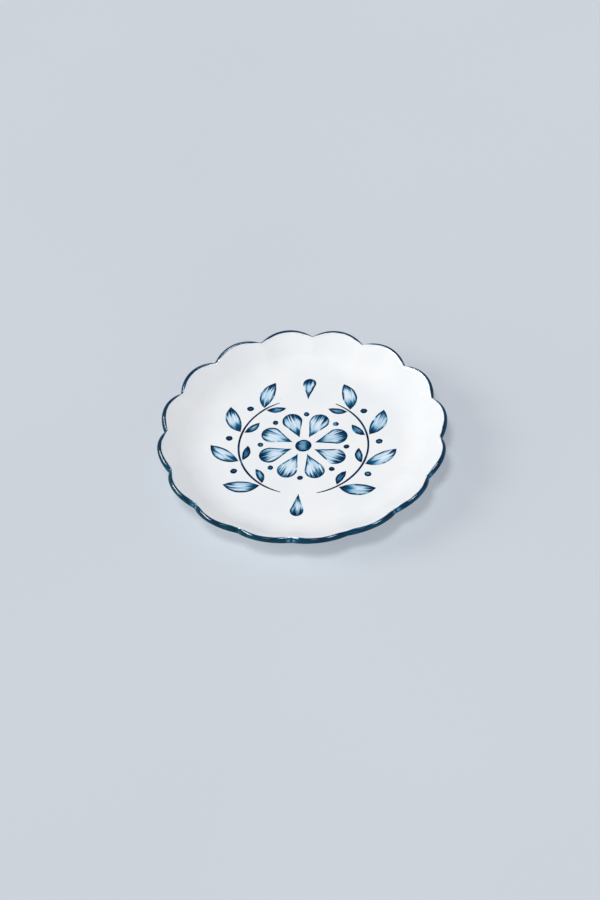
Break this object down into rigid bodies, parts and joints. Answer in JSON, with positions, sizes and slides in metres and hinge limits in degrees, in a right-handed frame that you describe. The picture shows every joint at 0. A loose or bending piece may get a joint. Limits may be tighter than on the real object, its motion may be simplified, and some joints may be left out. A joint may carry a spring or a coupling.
{
  "type": "decorative wall plate",
  "caption": "Shallow scalloped ceramic wall plate with a fluted wall, dark blue glazed lip, brush-painted wreath in its well, bare foot ring and swinging wire hanger.",
  "frame": {"origin": "centre of the foot ring's standing face, on the plate's axis", "axes": "+Z out of the plate's painted face along its axis, +Y towards the plate's top when it hangs, +X to the right as seen from the front"},
  "size_m": [0.2258, 0.2258, 0.0287],
  "materials": {
    "white_glaze": "white satin gloss glaze",
    "blue_rim_glaze": "dark teal blue gloss glaze",
    "brushed_blue": "brushed blue under a clear glaze",
    "bare_clay": "bare fired clay",
    "hanger_wire": "drawn steel wire"
  },
  "bodies": {
    "plate": {"plate_body": "white_glaze", "rim_band": "blue_rim_glaze", "foot_ring": "bare_clay", "painted_petals": "brushed_blue", "painted_heart": "brushed_blue", "painted_stems": "brushed_blue", "painted_leaves": "brushed_blue", "painted_buds": "brushed_blue"},
    "hanger": {"hanger_bail": "hanger_wire"}
  },
  "joints": [
    {"name": "hanger_swing", "type": "hinge", "parent": "plate", "child": "hanger", "pos_m": [0, 0.0215, 0.003], "axis": [1, 0, 0], "range_deg": [-183, 3]}
  ]
}
